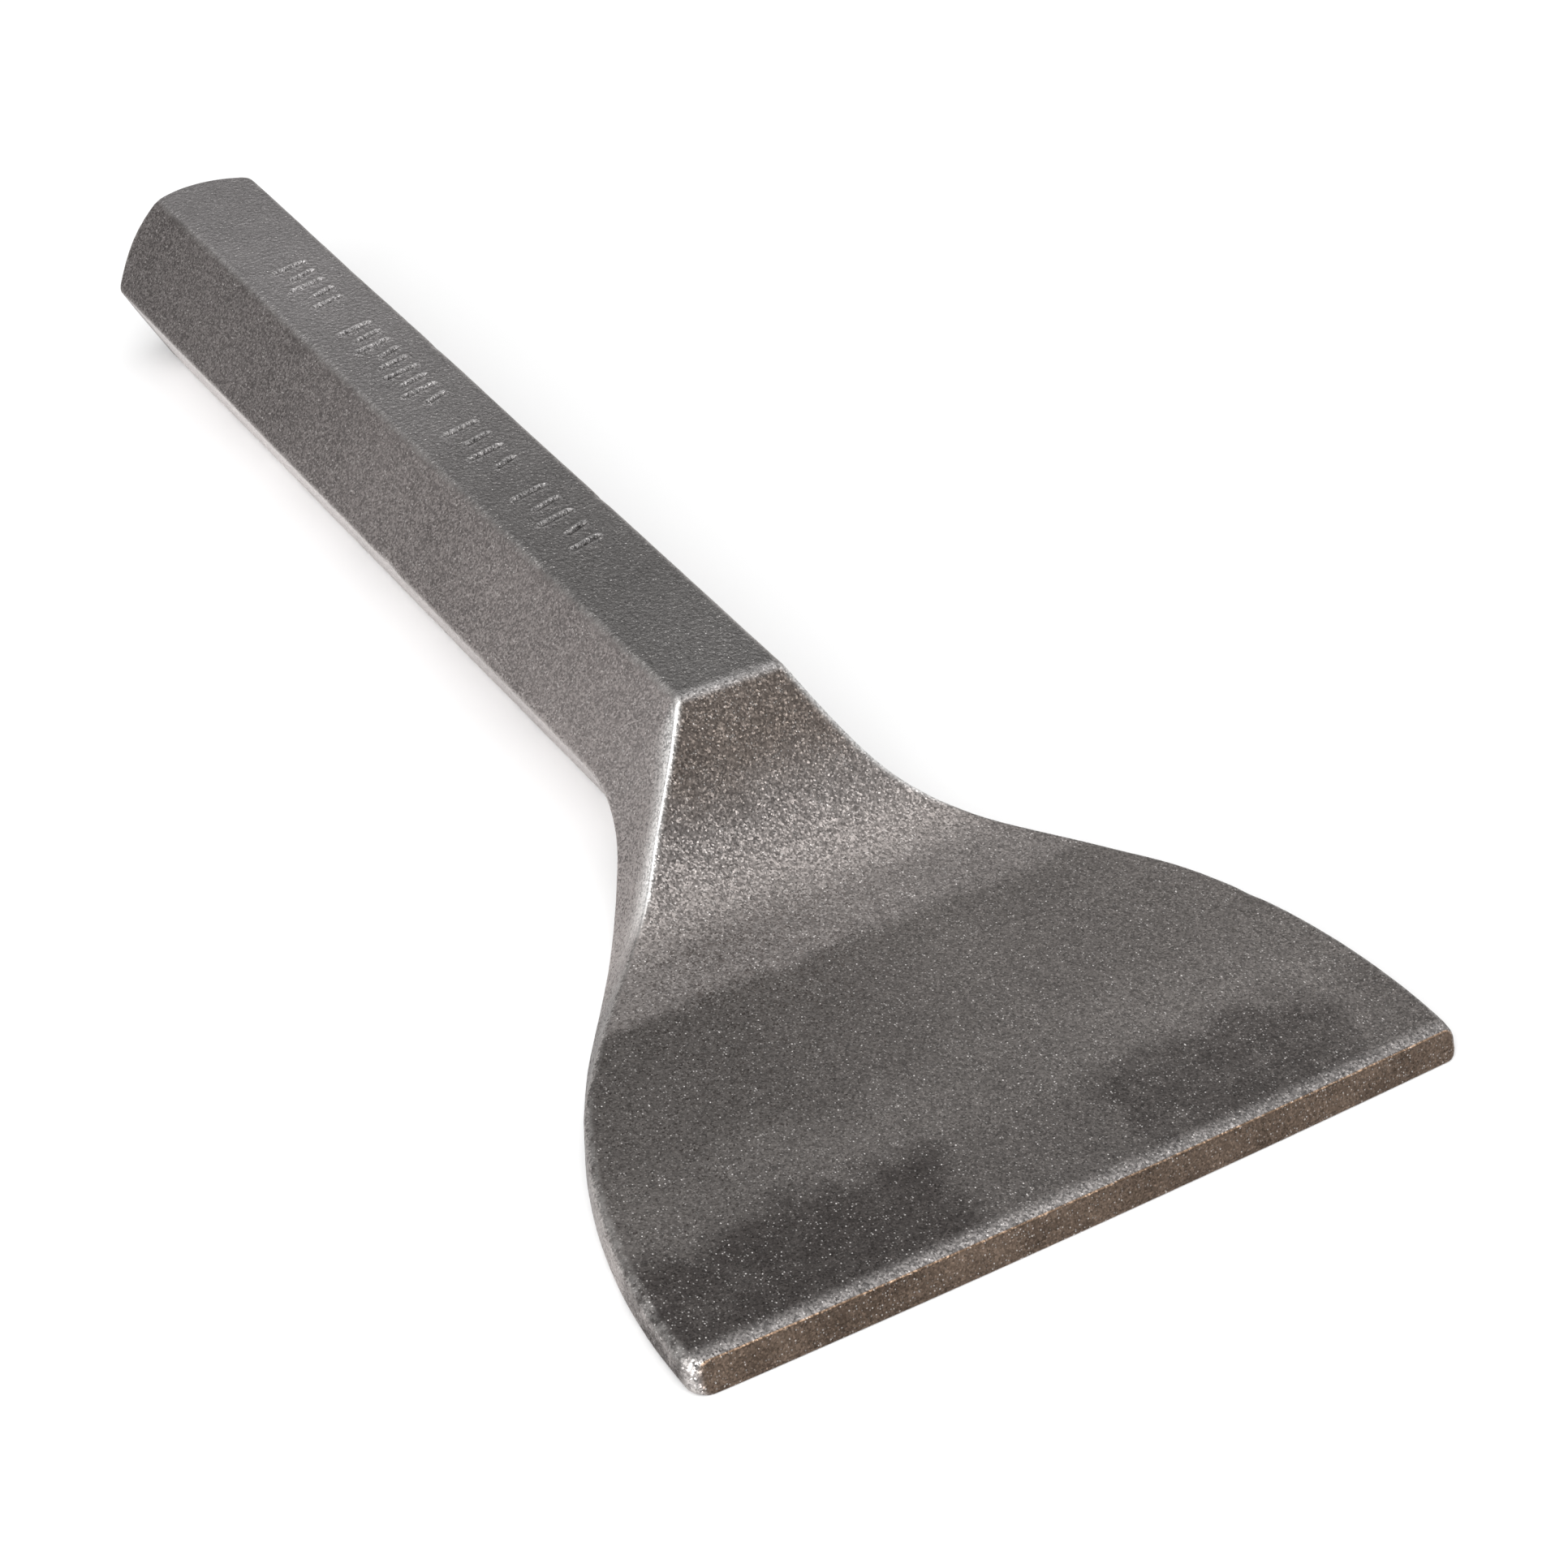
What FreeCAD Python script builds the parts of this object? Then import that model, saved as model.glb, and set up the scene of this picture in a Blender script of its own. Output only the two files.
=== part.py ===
import FreeCAD, Part
import math
import os
import Sketcher

# A mason's brick chisel: one steel forging drawn from hexagonal bar.
# Frame: +Y along the tool towards the struck head, the blade at -Y, +X across
# the blade, +Z up.  The flat back of the tool lies on z = 0 and the origin is
# the middle of the footprint of the whole tool.  All sizes in millimetres.

NODE = "chisel_body"

DRIVERS = {
    "overall_length": 198.0,     # cutting edge to the top of the struck face
    "blade_width": 88.9,         # widest part of the blade
    "hex_across_flats": 22.2,    # forged from 7/8 in hexagonal bar
    "widest_y": -95.2,           # where the blade is widest
    "blade_side_radius": 60.0,   # convex side of the blade, seen from above
    "bow_radius": 2200.0,        # the cutting edge is very slightly bowed out
    "bevel_height": 3.6,         # height of the ground bevel at the edge
    "bevel_setback": 1.3,        # its top edge sits this far behind the cutting edge
    "transition_y": -57.2,       # crease where the toe of the ramp meets the blade
    "transition_height": 5.7,    # thickness of the blade at that crease
    "toe_slope": 7.0,            # slope of the toe, degrees
    "ramp_top_y": -32.8,         # where the ramp leaves the top flat of the bar
    "ramp_slope": 51.0,          # slope of the ramp, degrees
    "ramp_radius": 16.0,         # concave radius between the ramp and the toe
    "shank_start_y": -23.0,      # the plain hexagonal bar begins here
    "head_chamfer": 2.6,         # 45 degree chamfer round the struck head
    "head_crown": 0.55,          # height of the crown of the struck face
    "rim_radius": 0.8,           # worn rounding of the ramp and blade top edges
    "clearance": 8.0,            # how far cutting sketches reach past the metal
}

HEX_SIDE = DRIVERS["hex_across_flats"] / math.sqrt(3) / 2
HEX_CORNER = DRIVERS["hex_across_flats"] / math.sqrt(3)
HEX_AXIS = DRIVERS["hex_across_flats"] / 2

# The flare between bar and blade as half-width sections, from the blade back to
# the bar: y, half width at the top (where the leaning wall would meet the top of
# the bar), half width and height of the widest belt, half width of the back.
FLARE = {
    "root": (-60.0, 27.9, 33.45, 0.9, 32.95),
    "apron": (-56.0, 21.4, 30.8, 0.9, 30.3),
    "throat": (-52.0, 15.4, 27.75, 0.9, 27.25),
    "waist": (-48.0, 10.95, 24.6, 1.0, 24.0),
    "gusset": (-44.0, 8.1, 21.5, 1.3, 20.7),
    "collar": (-40.5, 6.95, 18.9, 2.4, 17.65),
    "heel": (-37.3, 6.55, 16.6, 5.0, 14.65),
    "hip": (-34.2, 6.45, 14.7, 7.8, 11.6),
    "shelf": (-30.8, HEX_SIDE, 13.5, 9.9, 9.1),
    "spring": (-27.0, HEX_SIDE, 12.93, 10.9, 7.3),
    "bar": (-23.0, HEX_SIDE, HEX_CORNER, HEX_AXIS, HEX_SIDE),
}

# Stations along the convex side of the blade, whose widths follow the side arc.
BLADE_STATIONS = {"nose": -102.0, "tip": -97.0, "wing": -92.0, "vane": -86.0,
                  "web": -80.0, "leaf": -74.0, "rib": -69.0, "stem": -64.5}
BLADE_BELT_HEIGHT = 0.9
BLADE_BACK_STEP = 0.45

doc = FreeCAD.newDocument("chisel")
sheet = doc.addObject("Spreadsheet::Sheet", "Params")
sheet_row = 0


def put(name, value):
    """One named plain number in the sheet."""
    global sheet_row
    sheet_row += 1
    sheet.set("A%d" % sheet_row, name)
    sheet.set("B%d" % sheet_row, "%.9g" % value)
    sheet.setAlias("B%d" % sheet_row, name)


def blade_section(y):
    """Section of the blade on the arc of its convex side."""
    radius = DRIVERS["blade_side_radius"]
    back_y = y - DRIVERS["widest_y"]
    half = DRIVERS["blade_width"] / 2 - (radius - math.sqrt(radius ** 2 - back_y ** 2))
    return (y, half, half, BLADE_BELT_HEIGHT, half - BLADE_BACK_STEP)


sections = {name: blade_section(y) for name, y in BLADE_STATIONS.items()}
sections.update(FLARE)

for name, value in DRIVERS.items():
    put(name, value)
for name, sizes in sections.items():
    for suffix, value in zip(("y", "top", "belt", "height", "back"), sizes):
        put("%s_%s" % (name, suffix), value)
doc.recompute()

body = doc.addObject("PartDesign::Body", NODE)
body.Label = NODE


def new_sketch(name, role):
    """Sketch of the body on one of its own origin planes."""
    sketch = body.newObject("Sketcher::SketchObject", name)
    datum = [feature for feature in body.Origin.OriginFeatures if feature.Role == role][0]
    sketch.AttachmentSupport = [(datum, "")]
    sketch.MapMode = "FlatFace"
    return sketch


def vec(x, y):
    return FreeCAD.Vector(x, y, 0)


def polygon(sketch, points):
    """Closed outline of straight lines joined end to end."""
    count = len(points)
    for index in range(count):
        sketch.addGeometry(Part.LineSegment(vec(*points[index]),
                                            vec(*points[(index + 1) % count])), False)
    for index in range(count):
        sketch.addConstraint(Sketcher.Constraint("Coincident", index, 2,
                                                 (index + 1) % count, 1))


def pin(sketch, line, point, across, up):
    """Place one end of a line; each of across and up is (value, expression)."""
    for kind, (value, expression) in (("DistanceX", across), ("DistanceY", up)):
        number = sketch.addConstraint(Sketcher.Constraint(kind, -1, 1, line, point, value))
        sketch.setExpression("Constraints[%d]" % number, expression)


def section_sketch(name, sizes):
    """Six-sided cross-section standing across the tool."""
    y, top, belt, height, back = sizes
    roof = DRIVERS["hex_across_flats"]
    sketch = new_sketch("Section_" + name, "XZ_Plane")
    sketch.setExpression("AttachmentOffset.Base.z", "-Params.%s_y" % name)
    points = [(top, roof), (-top, roof), (-belt, height), (-back, 0), (back, 0),
              (belt, height)]
    polygon(sketch, points)
    for left, right in ((1, 0), (2, 5), (3, 4)):
        sketch.addConstraint(Sketcher.Constraint("Symmetric", left, 1, right, 1, -2))
    pin(sketch, 0, 1, (top, "Params.%s_top" % name), (roof, "Params.hex_across_flats"))
    pin(sketch, 5, 1, (belt, "Params.%s_belt" % name), (height, "Params.%s_height" % name))
    number = sketch.addConstraint(Sketcher.Constraint("DistanceX", -1, 1, 4, 1, back))
    sketch.setExpression("Constraints[%d]" % number, "Params.%s_back" % name)
    sketch.addConstraint(Sketcher.Constraint("PointOnObject", 4, 1, -1))
    return sketch


# Blade and flare, still as tall as the bar.
profiles = [section_sketch(name, sizes) for name, sizes in sections.items()]
doc.recompute()
loft = body.newObject("PartDesign::AdditiveLoft", "BladeAndFlare")
loft.Profile = profiles[0]
loft.Sections = [(profile, [""]) for profile in profiles[1:]]
loft.Ruled = False
doc.recompute()

# Plain hexagonal bar.
bar_sketch = new_sketch("BarSection", "XZ_Plane")
bar_sketch.setExpression("AttachmentOffset.Base.z", "-Params.shank_start_y")
hexagon = []
for step in range(6):
    turn = math.radians(60 * step)
    hexagon.append((HEX_CORNER * math.cos(turn), HEX_AXIS + HEX_CORNER * math.sin(turn)))
polygon(bar_sketch, hexagon)
for step, (corner_x, corner_z) in enumerate(hexagon):
    turn = 60 * step
    pin(bar_sketch, step, 1,
        (corner_x, "Params.hex_across_flats / sqrt(3) * cos(%d deg)" % turn),
        (corner_z, "Params.hex_across_flats / 2"
                   " + Params.hex_across_flats / sqrt(3) * sin(%d deg)" % turn))
bar = body.newObject("PartDesign::Pad", "HexBar")
bar.Profile = bar_sketch
bar.Reversed = True
bar.setExpression("Length", "Params.overall_length / 2 - Params.shank_start_y")
doc.recompute()

# Side profile: ramp, concave radius, toe and thin blade, cut down from the bar.
roof = DRIVERS["hex_across_flats"]
sky = roof + DRIVERS["clearance"]
radius = DRIVERS["ramp_radius"]
ramp = math.radians(DRIVERS["ramp_slope"])
toe = math.radians(DRIVERS["toe_slope"])
edge_y = -DRIVERS["overall_length"] / 2
front_y = edge_y - DRIVERS["clearance"]
crease = vec(DRIVERS["ramp_top_y"], roof)
transition = vec(DRIVERS["transition_y"], DRIVERS["transition_height"])
bevel_top = vec(edge_y + DRIVERS["bevel_setback"], DRIVERS["bevel_height"])
run = ((crease.y - transition.y - (crease.x - transition.x) * math.tan(toe))
       / (math.tan(ramp) - math.tan(toe)))
knee = crease - vec(run, run * math.tan(ramp))
tangent = radius * math.tan((ramp - toe) / 2)
ramp_foot = knee + vec(math.cos(ramp), math.sin(ramp)) * tangent
toe_end = knee - vec(math.cos(toe), math.sin(toe)) * tangent
center = toe_end + vec(-math.sin(toe), math.cos(toe)) * radius
thinning = (transition.y - bevel_top.y) / (transition.x - bevel_top.x)
front = vec(front_y, bevel_top.y - thinning * (bevel_top.x - front_y))

side = new_sketch("SideProfile", "YZ_Plane")
side.addGeometry(Part.LineSegment(ramp_foot, crease), False)
side.addGeometry(Part.ArcOfCircle(Part.Circle(center, FreeCAD.Vector(0, 0, 1), radius),
                                  toe - math.pi / 2, ramp - math.pi / 2), False)
side.addGeometry(Part.LineSegment(transition, toe_end), False)
side.addGeometry(Part.LineSegment(front, transition), False)
side.addGeometry(Part.LineSegment(vec(front_y, sky), front), False)
side.addGeometry(Part.LineSegment(vec(crease.x, sky), vec(front_y, sky)), False)
side.addGeometry(Part.LineSegment(crease, vec(crease.x, sky)), False)
RAMP, CURVE, TOE, BLADE_TOP, NOSE, SKY, BACK = range(7)
side.addConstraint(Sketcher.Constraint("Tangent", CURVE, 2, RAMP, 1))
side.addConstraint(Sketcher.Constraint("Tangent", TOE, 2, CURVE, 1))
for one, other in ((BLADE_TOP, TOE), (NOSE, BLADE_TOP), (SKY, NOSE), (BACK, SKY),
                   (RAMP, BACK)):
    side.addConstraint(Sketcher.Constraint("Coincident", one, 2, other, 1))
side.addConstraint(Sketcher.Constraint("Vertical", NOSE))
side.addConstraint(Sketcher.Constraint("Vertical", BACK))
side.addConstraint(Sketcher.Constraint("Horizontal", SKY))
pin(side, RAMP, 2, (crease.x, "Params.ramp_top_y"), (crease.y, "Params.hex_across_flats"))
pin(side, TOE, 1, (transition.x, "Params.transition_y"),
    (transition.y, "Params.transition_height"))
pin(side, SKY, 2, (front_y, "-Params.overall_length / 2 - Params.clearance"),
    (sky, "Params.hex_across_flats + Params.clearance"))
for line, slope, expression in (
        (RAMP, ramp, "Params.ramp_slope * 1 deg"),
        (TOE, toe, "Params.toe_slope * 1 deg"),
        (BLADE_TOP, math.atan(thinning),
         "atan((Params.transition_height - Params.bevel_height) / (Params.transition_y"
         " + Params.overall_length / 2 - Params.bevel_setback))")):
    number = side.addConstraint(Sketcher.Constraint("Angle", line, slope))
    side.setExpression("Constraints[%d]" % number, expression)
number = side.addConstraint(Sketcher.Constraint("Radius", CURVE, radius))
side.setExpression("Constraints[%d]" % number, "Params.ramp_radius")
doc.recompute()
top_cut = body.newObject("PartDesign::Pocket", "RampAndBladeCut")
top_cut.Profile = side
top_cut.Type = 1
top_cut.Midplane = True
doc.recompute()

# Ground bevel: a very shallow cone, so that the cutting edge is slightly bowed.
slant = DRIVERS["bevel_setback"] / DRIVERS["bevel_height"]
under = -1.0
bevel = new_sketch("BevelProfile", "YZ_Plane")
polygon(bevel, [(edge_y + slant * under, under), (edge_y + slant * sky, sky),
                (front_y, sky), (front_y, under)])
bevel.addConstraint(Sketcher.Constraint("Horizontal", 1))
bevel.addConstraint(Sketcher.Constraint("Vertical", 2))
bevel.addConstraint(Sketcher.Constraint("Horizontal", 3))
pin(bevel, 0, 1,
    (edge_y + slant * under,
     "-Params.overall_length / 2 - Params.bevel_setback / Params.bevel_height"),
    (under, "-1"))
number = bevel.addConstraint(Sketcher.Constraint("Angle", 0, math.atan(1 / slant)))
bevel.setExpression("Constraints[%d]" % number,
                    "atan(Params.bevel_height / Params.bevel_setback)")
pin(bevel, 2, 1, (front_y, "-Params.overall_length / 2 - Params.clearance"),
    (sky, "Params.hex_across_flats + Params.clearance"))
pivot_y = edge_y + DRIVERS["bow_radius"]
bevel.addGeometry(Part.LineSegment(vec(pivot_y, 0), vec(pivot_y, 10)), True)
bevel.addConstraint(Sketcher.Constraint("Vertical", 4))
bevel.addConstraint(Sketcher.Constraint("DistanceY", 4, 1, 4, 2, 10))
pin(bevel, 4, 1, (pivot_y, "Params.bow_radius - Params.overall_length / 2"), (0, "0"))
doc.recompute()
grind = body.newObject("PartDesign::Groove", "GroundBevel")
grind.Profile = bevel
grind.ReferenceAxis = (bevel, ["Axis0"])
grind.Angle = 3.0
grind.Midplane = True
doc.recompute()

# Struck head: 45 degree chamfer and a crowned face, turned about the bar's axis.
chamfer = DRIVERS["head_chamfer"]
crown = DRIVERS["head_crown"]
face_radius = HEX_AXIS - chamfer
dome = (face_radius ** 2 + crown ** 2) / (2 * crown)
tip_y = DRIVERS["overall_length"] / 2
shoulder = vec(tip_y - crown - chamfer - DRIVERS["clearance"],
               roof + DRIVERS["clearance"])
rim = vec(tip_y - crown, HEX_AXIS + face_radius)
tip = vec(tip_y, HEX_AXIS)
head = new_sketch("HeadProfile", "YZ_Plane")
head.addGeometry(Part.LineSegment(shoulder, rim), False)
head.addGeometry(Part.ArcOfCircle(
    Part.Circle(vec(tip_y - dome, HEX_AXIS), FreeCAD.Vector(0, 0, 1), dome),
    0, math.asin(face_radius / dome)), False)
head.addGeometry(Part.LineSegment(tip, tip + vec(DRIVERS["clearance"], 0)), False)
head.addGeometry(Part.LineSegment(tip + vec(DRIVERS["clearance"], 0),
                                  vec(tip_y + DRIVERS["clearance"], shoulder.y)), False)
head.addGeometry(Part.LineSegment(vec(tip_y + DRIVERS["clearance"], shoulder.y),
                                  shoulder), False)
CHAMFER, DOME, AXIS, OUT, OVER = range(5)
head.addConstraint(Sketcher.Constraint("Coincident", CHAMFER, 2, DOME, 2))
head.addConstraint(Sketcher.Constraint("Coincident", DOME, 1, AXIS, 1))
head.addConstraint(Sketcher.Constraint("Coincident", AXIS, 2, OUT, 1))
head.addConstraint(Sketcher.Constraint("Coincident", OUT, 2, OVER, 1))
head.addConstraint(Sketcher.Constraint("Coincident", OVER, 2, CHAMFER, 1))
head.addConstraint(Sketcher.Constraint("Horizontal", AXIS))
head.addConstraint(Sketcher.Constraint("Vertical", OUT))
head.addConstraint(Sketcher.Constraint("Horizontal", OVER))
head.addConstraint(Sketcher.Constraint("PointOnObject", DOME, 3, AXIS))
pin(head, CHAMFER, 1,
    (shoulder.x, "Params.overall_length / 2 - Params.head_crown - Params.head_chamfer"
                 " - Params.clearance"),
    (shoulder.y, "Params.hex_across_flats + Params.clearance"))
pin(head, CHAMFER, 2,
    (rim.x, "Params.overall_length / 2 - Params.head_crown"),
    (rim.y, "Params.hex_across_flats - Params.head_chamfer"))
pin(head, AXIS, 1, (tip.x, "Params.overall_length / 2"),
    (tip.y, "Params.hex_across_flats / 2"))
number = head.addConstraint(Sketcher.Constraint("DistanceX", AXIS, 1, AXIS, 2,
                                                DRIVERS["clearance"]))
head.setExpression("Constraints[%d]" % number, "Params.clearance")
doc.recompute()
turned = body.newObject("PartDesign::Groove", "StruckHead")
turned.Profile = head
head.addGeometry(Part.LineSegment(vec(0, HEX_AXIS), tip), True)
turned.ReferenceAxis = (head, ["Axis0"])
turned.Angle = 360.0
doc.recompute()


def middle(edge):
    return edge.valueAt((edge.FirstParameter + edge.LastParameter) / 2)


# Soften the long top edges of ramp and blade.
rim_edges = []
for number, edge in enumerate(body.Shape.Edges):
    point = middle(edge)
    beside_blade = edge_y + 1 < point.y < crease.x - 1
    if beside_blade and abs(point.x) > HEX_SIDE and edge.BoundBox.ZMin > bevel_top.y - 0.1:
        rim_edges.append("Edge%d" % (number + 1))
rounding = body.newObject("PartDesign::Fillet", "BladeRimRounding")
rounding.Base = (turned, rim_edges)
rounding.setExpression("Radius", "Params.rim_radius")
doc.recompute()

body.Tip = rounding
body.Placement = FreeCAD.Placement()
doc.recompute()

for item in doc.Objects:
    if "Invalid" in item.State or "Error" in item.State:
        raise RuntimeError("%s is %s" % (item.Name, item.State))
if body.Shape.isNull() or not body.Shape.isValid() or len(body.Shape.Solids) != 1:
    raise RuntimeError("the body is not one sound solid")
print("volume %.1f mm3, centre of mass %s" % (body.Shape.Volume,
                                             body.Shape.Solids[0].CenterOfMass))

os.makedirs("parts", exist_ok=True)
body.Shape.exportStep("parts/%s.step" % body.Label)
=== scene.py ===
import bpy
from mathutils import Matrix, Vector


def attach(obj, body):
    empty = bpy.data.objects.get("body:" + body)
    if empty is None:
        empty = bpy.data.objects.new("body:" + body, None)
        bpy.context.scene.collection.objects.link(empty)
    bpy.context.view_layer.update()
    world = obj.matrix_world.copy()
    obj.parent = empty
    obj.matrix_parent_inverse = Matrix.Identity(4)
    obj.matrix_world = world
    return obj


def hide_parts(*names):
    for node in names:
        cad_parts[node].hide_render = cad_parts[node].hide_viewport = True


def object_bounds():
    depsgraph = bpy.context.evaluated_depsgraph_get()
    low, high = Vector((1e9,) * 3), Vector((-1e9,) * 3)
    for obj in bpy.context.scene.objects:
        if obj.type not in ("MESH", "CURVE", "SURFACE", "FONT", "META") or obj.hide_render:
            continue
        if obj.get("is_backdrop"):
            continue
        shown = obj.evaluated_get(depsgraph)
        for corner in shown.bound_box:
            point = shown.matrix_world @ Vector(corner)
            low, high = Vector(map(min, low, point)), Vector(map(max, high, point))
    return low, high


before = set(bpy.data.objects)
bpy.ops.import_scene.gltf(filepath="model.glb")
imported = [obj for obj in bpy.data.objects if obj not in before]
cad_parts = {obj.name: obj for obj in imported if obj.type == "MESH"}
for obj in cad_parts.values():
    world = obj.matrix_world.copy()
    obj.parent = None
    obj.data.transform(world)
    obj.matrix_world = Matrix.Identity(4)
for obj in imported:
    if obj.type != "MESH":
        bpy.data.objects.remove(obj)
cad_box = [list(corner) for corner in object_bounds()]

import math

import bmesh
import bpy
import numpy as np
from mathutils import Matrix, Vector, noise

# A mason's brick chisel: one blasted steel forging.  The shape is worked out in
# millimetres in the row frame (+Y to the struck head, blade at -Y, flat back on
# z = 0) and scaled to metres once, when the mesh is made.

MM = 0.001
TO_MM = 1000.0

# ---------------------------------------------------------------- sizes
LENGTH = 198.0
EDGE_Y = -LENGTH / 2
FLATS = 22.2
AXIS_Z = FLATS / 2
HEX_SIDE = FLATS / math.sqrt(3) / 2
HEX_CORNER = FLATS / math.sqrt(3)
BLADE_HALF, WIDEST_Y, SIDE_RADIUS = 44.45, -95.2, 60.0
BELT_Z, BACK_STEP = 0.9, 0.45
# The edge's bow and lean fade in over the last part of the blade, from this far out.
BOW_RADIUS, BOW_START = 2200.0, 88.0
BEVEL_Z, BEVEL_SETBACK = 3.6, 1.3
SLANT = BEVEL_SETBACK / BEVEL_Z
TRANSITION_Y, TRANSITION_Z = -57.2, 5.7
TOE, RAMP = math.radians(7.0), math.radians(51.0)
RAMP_TOP_Y, RAMP_RADIUS = -32.8, 16.0
CREASE_RADIUS = 1.8
ARRIS_RADIUS = 0.2
LEFT_TIP_RADIUS, RIGHT_TIP_RADIUS = 1.6, 0.4
TIP_REACH, TIP_FULL = 5.0, 0.5
# The left rim of the ramp is this much fuller, centred on SWELL_Y.
RIM_SWELL, SWELL_Y, SWELL_REACH = 0.9, -39.5, 4.2
# Corner radii of a section: the top one, its dip on the flare, then belt and back.
TOP_RADIUS, CRISPER, CRISP_Y, CRISP_REACH = 1.2, 0.5, -41.0, 6.0
BAR_RADII, BLADE_RADII, RADII_CHANGE_Y = (0.8, 1.1), (0.9, 0.8), -40
# Just behind the ground edge the blade thins by EDGE_DROOP of its height.
EDGE_DROOP, DROOP_REACH = 0.11, 1.9
EDGE_STEPS = (0.0, 0.012, 0.05, 0.11, 0.2, 0.34, 0.52, 0.76, 1.05, 1.35, 1.65)
HEAD_CHAMFER, HEAD_CROWN = 2.6, 0.55
FACE_RADIUS = AXIS_Z - HEAD_CHAMFER
RIM_Y = LENGTH / 2 - HEAD_CROWN
HEAD_WORN, HEAD_SOFT = 1.1, 0.3
BAR_STOP_Y, CHAMFER_START_Y, CHAMFER_STEP = 91.3, 91.5, 0.22
LAST_SECTION_Y = 90.0

# Flare between blade and bar: y, half width at bar height, half width and height
# of the belt, half width of the back.
FLARE = np.array([
    (-60.0, 27.9, 33.45, 0.9, 32.95),
    (-56.0, 21.4, 30.8, 0.9, 30.3),
    (-52.0, 15.4, 27.75, 0.9, 27.25),
    (-48.0, 10.95, 24.6, 1.0, 24.0),
    (-44.0, 8.1, 21.5, 1.3, 20.7),
    (-40.5, 6.95, 18.9, 2.4, 17.65),
    (-37.3, 6.55, 16.6, 5.0, 14.65),
    (-34.2, 6.45, 14.7, 7.8, 11.6),
    (-30.8, HEX_SIDE, 13.5, 9.9, 9.1),
    (-27.0, HEX_SIDE, 12.93, 10.9, 7.3),
    (-23.0, HEX_SIDE, HEX_CORNER, AXIS_Z, HEX_SIDE),
    (-19.0, HEX_SIDE, HEX_CORNER, AXIS_Z, HEX_SIDE),
])

# Segments round half a section: flat, corner, wall, corner, lower wall, corner, flat.
FLAT_N, CORNER_N, WALL_N = 20, 7, 10
SIDE_N = 3 * CORNER_N + 2 * WALL_N
HALF_N = 2 * FLAT_N + SIDE_N
RING_N = 2 * HALF_N


def smooth(value, low, high):
    """Smooth step from 0 at low to 1 at high."""
    t = np.clip((value - low) / (high - low), 0, 1)
    return t * t * (3 - 2 * t)


def blade_half(y):
    """Half width of the blade at y, on its side radius."""
    return BLADE_HALF - (SIDE_RADIUS - np.sqrt(SIDE_RADIUS ** 2 - (y - WIDEST_Y) ** 2))


blade_rows = [(y, blade_half(y), blade_half(y), BELT_Z, blade_half(y) - BACK_STEP)
              for y in (-78.0, -74.0, -69.0, -64.5)]
STATIONS = np.vstack([np.array(blade_rows), FLARE])
SLOPES = np.gradient(STATIONS[:, 1:], STATIONS[:, 0], axis=0)


def widths(y):
    """Half width at bar height, belt half width, belt height and half width of the back."""
    if y < STATIONS[1, 0]:
        half = blade_half(y)
        return half, half, BELT_Z, half - BACK_STEP
    if y >= STATIONS[-2, 0]:
        return tuple(STATIONS[-1, 1:])
    row = int(np.searchsorted(STATIONS[:, 0], y, side="right")) - 1
    gap = STATIONS[row + 1, 0] - STATIONS[row, 0]
    t = (y - STATIONS[row, 0]) / gap
    start, stop = STATIONS[row, 1:], STATIONS[row + 1, 1:]
    return tuple((2 * t ** 3 - 3 * t ** 2 + 1) * start + (3 * t ** 2 - 2 * t ** 3) * stop
                 + gap * ((t ** 3 - 2 * t ** 2 + t) * SLOPES[row]
                          + (t ** 3 - t ** 2) * SLOPES[row + 1]))


# Side profile: thin blade, toe, concave radius, ramp, rounded crease, top flat.
THINNING = (TRANSITION_Z - BEVEL_Z) / (TRANSITION_Y - EDGE_Y - BEVEL_SETBACK)
knee_run = ((FLATS - TRANSITION_Z - (RAMP_TOP_Y - TRANSITION_Y) * math.tan(TOE))
            / (math.tan(RAMP) - math.tan(TOE)))
KNEE_Y, KNEE_Z = RAMP_TOP_Y - knee_run, FLATS - knee_run * math.tan(RAMP)
knee_reach = RAMP_RADIUS * math.tan((RAMP - TOE) / 2)
TOE_END_Y = KNEE_Y - knee_reach * math.cos(TOE)
TOE_END_Z = KNEE_Z - knee_reach * math.sin(TOE)
RAMP_FOOT_Y = KNEE_Y + knee_reach * math.cos(RAMP)
ARC_Y = TOE_END_Y - RAMP_RADIUS * math.sin(TOE)
ARC_Z = TOE_END_Z + RAMP_RADIUS * math.cos(TOE)
crease_reach = CREASE_RADIUS * math.tan(RAMP / 2)
CREASE_START = RAMP_TOP_Y - crease_reach * math.cos(RAMP)
CREASE_END = RAMP_TOP_Y + crease_reach
BLEND = 1.8


def roof_height(y):
    """Height of the top surface on the centre line."""
    if y < TRANSITION_Y + BLEND:
        height = TRANSITION_Z + THINNING * (y - TRANSITION_Y)
        if y > TRANSITION_Y - BLEND:
            bend = math.tan(TOE) - THINNING
            height += bend * (y - TRANSITION_Y + BLEND) ** 2 / (4 * BLEND)
        return height
    if y < TOE_END_Y:
        return TRANSITION_Z + math.tan(TOE) * (y - TRANSITION_Y)
    if y < RAMP_FOOT_Y:
        return ARC_Z - math.sqrt(RAMP_RADIUS ** 2 - (y - ARC_Y) ** 2)
    if y < CREASE_START:
        return FLATS - math.tan(RAMP) * (RAMP_TOP_Y - y)
    if y < CREASE_END:
        return FLATS - CREASE_RADIUS + math.sqrt(CREASE_RADIUS ** 2 - (CREASE_END - y) ** 2)
    return FLATS


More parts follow.
